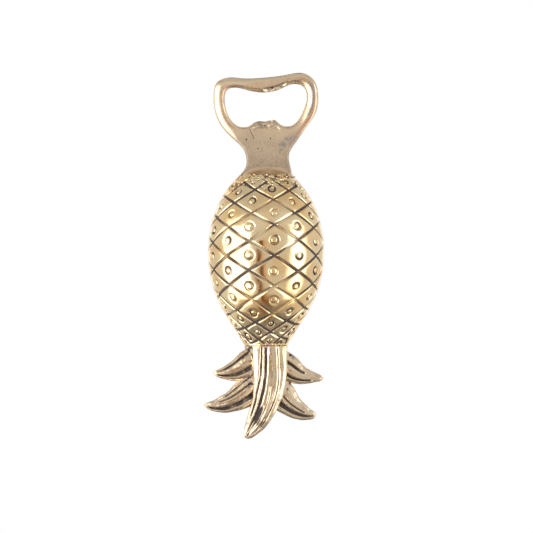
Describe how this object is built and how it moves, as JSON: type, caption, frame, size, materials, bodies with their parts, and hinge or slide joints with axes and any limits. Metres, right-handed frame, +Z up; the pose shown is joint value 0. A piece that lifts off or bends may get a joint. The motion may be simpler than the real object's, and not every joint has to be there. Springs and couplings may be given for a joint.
{
  "type": "souvenir bottle opener",
  "caption": "Pineapple-shaped cast brass bottle opener: cap loop with tooth and tab, hollow engraved fruit as the grip, and a curled leaf crown at the end.",
  "frame": {"origin": "tip of the hooking tooth, at mid thickness, on the upper bar of the loop, where the opener hangs", "axes": "+Z up along the opener from the leaf crown to the loop, +X to the right seen from the front, -Y to the front"},
  "size_m": [0.0492, 0.0402, 0.1498],
  "materials": {
    "brass_head": "satin, hand filed",
    "brass_fruit": "polished, dark patina in the engraving",
    "brass_leaf": "polished, dark patina in the grooves",
    "brass_braze": "rough braze, pitted"
  },
  "bodies": {
    "root": {"opener_head": "brass_head", "neck_braze": "brass_braze", "fruit_front_half": "brass_fruit", "fruit_back_half": "brass_fruit", "crown_core": "brass_leaf", "crown_braze": "brass_braze", "upper_left_leaf": "brass_leaf", "upper_right_leaf": "brass_leaf", "lower_left_leaf": "brass_leaf", "lower_right_leaf": "brass_leaf", "front_leaf": "brass_leaf", "back_leaf": "brass_leaf"}
  },
  "joints": []
}
